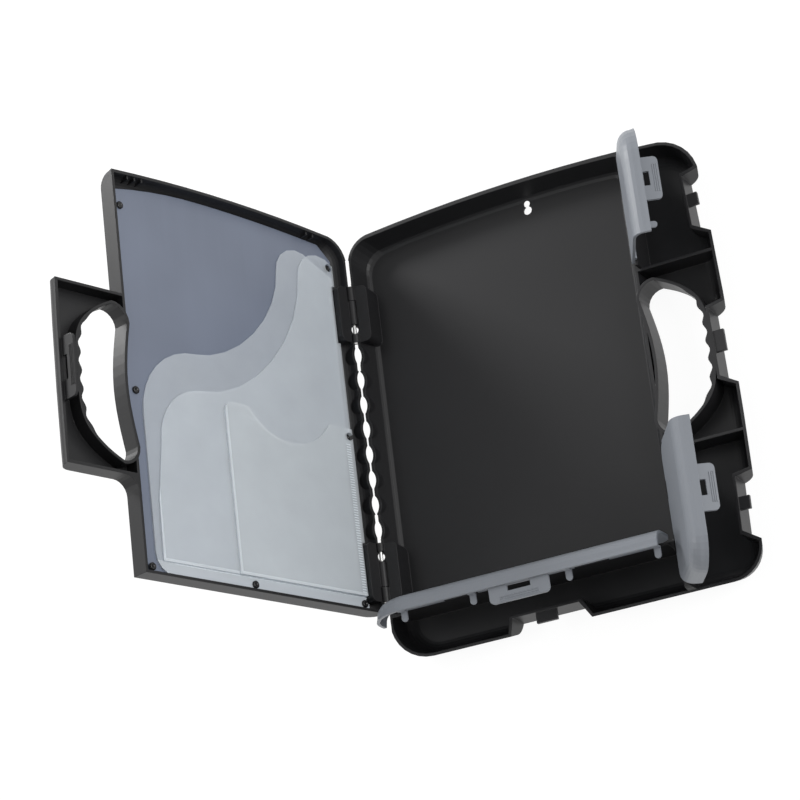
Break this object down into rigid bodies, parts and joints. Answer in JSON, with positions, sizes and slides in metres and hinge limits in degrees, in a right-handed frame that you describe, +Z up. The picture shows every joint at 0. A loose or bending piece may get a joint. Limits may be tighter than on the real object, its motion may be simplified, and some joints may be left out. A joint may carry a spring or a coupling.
{
  "type": "storage clipboard box",
  "caption": "Clamshell clipboard case with a paper bay, pencil tray and side bins under snap lids, pockets inside the pinned cover and a finger grip.",
  "frame": {"origin": "centre of the base's underside", "axes": "+X from the hinge side to the handle side, +Y to the arched top edge, +Z up out of the base"},
  "size_m": [0.4188, 0.3644, 0.3149],
  "materials": {
    "charcoal": "moulded polypropylene, fine satin texture",
    "lid_grey": "moulded polypropylene, smooth satin",
    "sheet_blue": "thin plastic sheet, smooth satin",
    "film": "frosted clear vinyl",
    "steel": "drawn steel wire",
    "nickel": "nickel plated sheet steel",
    "rubber": "soft moulded rubber"
  },
  "bodies": {
    "base": {"base_tray": "charcoal", "upper_hinge_pin": "steel", "lower_hinge_pin": "steel", "pencil_lid_pins": "steel", "upper_lid_pins": "steel", "lower_lid_pins": "steel"},
    "cover": {"cover_shell": "charcoal", "backing_sheet": "sheet_blue", "rear_pocket": "film", "middle_pocket": "film", "front_pocket": "film", "pocket_rivets": "charcoal", "clip_base": "nickel", "clip_pin": "steel", "clip_spring": "steel", "clip_rivets": "nickel"},
    "clip": {"clip_jaw": "nickel", "clip_grips": "rubber"},
    "pencil_cover": {"pencil_lid": "lid_grey"},
    "upper_bin_cover": {"upper_bin_lid": "lid_grey"},
    "lower_bin_cover": {"lower_bin_lid": "lid_grey"}
  },
  "joints": [
    {"name": "cover_hinge", "type": "hinge", "parent": "base", "child": "cover", "pos_m": [-0.15425, 0, 0.022], "axis": [0, -1, 0], "range_deg": [-109, 67]},
    {"name": "pencil_lid_hinge", "type": "hinge", "parent": "base", "child": "pencil_cover", "pos_m": [-0.03, -0.14375, 0.0338], "axis": [-1, 0, 0], "range_deg": [-88, 2]},
    {"name": "upper_bin_hinge", "type": "hinge", "parent": "base", "child": "upper_bin_cover", "pos_m": [0.09175, 0.12, 0.0338], "axis": [0, -1, 0], "range_deg": [-67, 23]},
    {"name": "lower_bin_hinge", "type": "hinge", "parent": "base", "child": "lower_bin_cover", "pos_m": [0.09175, -0.12, 0.0338], "axis": [0, -1, 0], "range_deg": [-61, 29]},
    {"name": "clip_hinge", "type": "hinge", "parent": "cover", "child": "clip", "pos_m": [-0.2131, 0.13895, 0.13024], "axis": [0.3256, 0, -0.9455], "range_deg": [0, 15], "stiffness_Nm_per_rad": 0.8, "springref_deg": -28.65}
  ]
}
